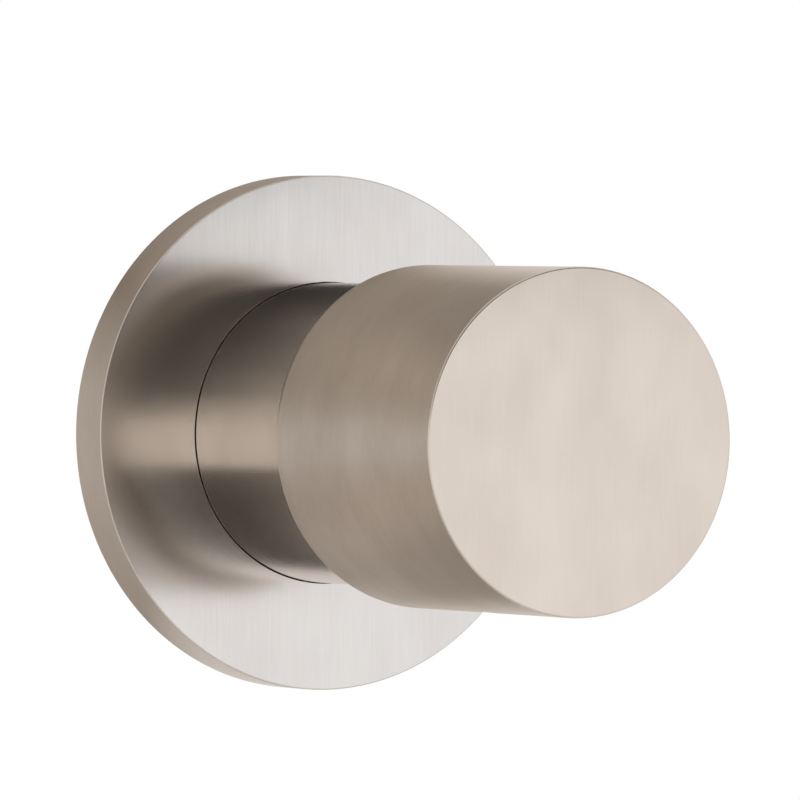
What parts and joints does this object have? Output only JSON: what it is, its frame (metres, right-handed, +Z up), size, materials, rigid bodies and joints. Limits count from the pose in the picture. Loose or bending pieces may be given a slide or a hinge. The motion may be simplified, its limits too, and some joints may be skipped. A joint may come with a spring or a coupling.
{
  "type": "concealed shut-off valve",
  "caption": "Round concealed shut-off valve: brushed steel knob, neck and wall flange on a threaded in-line brass body with a quarter-turn ceramic headwork.",
  "frame": {"origin": "centre of the flange's wall side, on the finished wall plane and the knob's axis", "axes": "+Y along the knob's axis into the wall, +Z up along the pipe, towards the outlet"},
  "size_m": [0.06, 0.1254, 0.068],
  "materials": {
    "knob_steel": "brushed",
    "sleeve_steel": "brushed",
    "flange_steel": "brushed",
    "turned_brass": "turned",
    "cast_brass": "as cast, machined ends",
    "screw_steel": "plain",
    "spring_steel": "oiled",
    "white_plastic": "moulded",
    "black_rubber": "moulded",
    "gasket_rubber": "cut sheet",
    "fibre_gasket": "pressed fibre",
    "disc_ceramic": "lapped"
  },
  "bodies": {
    "valve": {"valve_body": "cast_brass", "bonnet": "turned_brass", "bonnet_gasket": "fibre_gasket", "fixed_disc": "disc_ceramic", "seat_seal": "black_rubber", "carrier_barrel": "turned_brass", "carrier_o_ring_front": "black_rubber", "carrier_o_ring_rear": "black_rubber", "cover_sleeve": "sleeve_steel", "glide_ring": "white_plastic", "extension_guide": "white_plastic", "slide_washer": "white_plastic"},
    "flange": {"wall_flange": "flange_steel", "flange_o_ring": "black_rubber", "wall_gasket": "gasket_rubber"},
    "handle": {"knob": "knob_steel", "knob_insert": "turned_brass", "grub_screw": "screw_steel", "spindle_extension": "turned_brass", "extension_screw": "screw_steel", "spindle": "turned_brass", "circlip": "spring_steel", "spindle_o_ring_front": "black_rubber", "spindle_o_ring_rear": "black_rubber", "moving_disc": "disc_ceramic"}
  },
  "joints": [
    {"name": "handle_turn", "type": "hinge", "parent": "valve", "child": "handle", "pos_m": [0, 0, 0], "axis": [0, -1, 0], "range_deg": [0, 90]},
    {"name": "flange_slide", "type": "slide", "parent": "valve", "child": "flange", "axis": [0, -1, 0], "range_m": [0, 0.0215]}
  ]
}
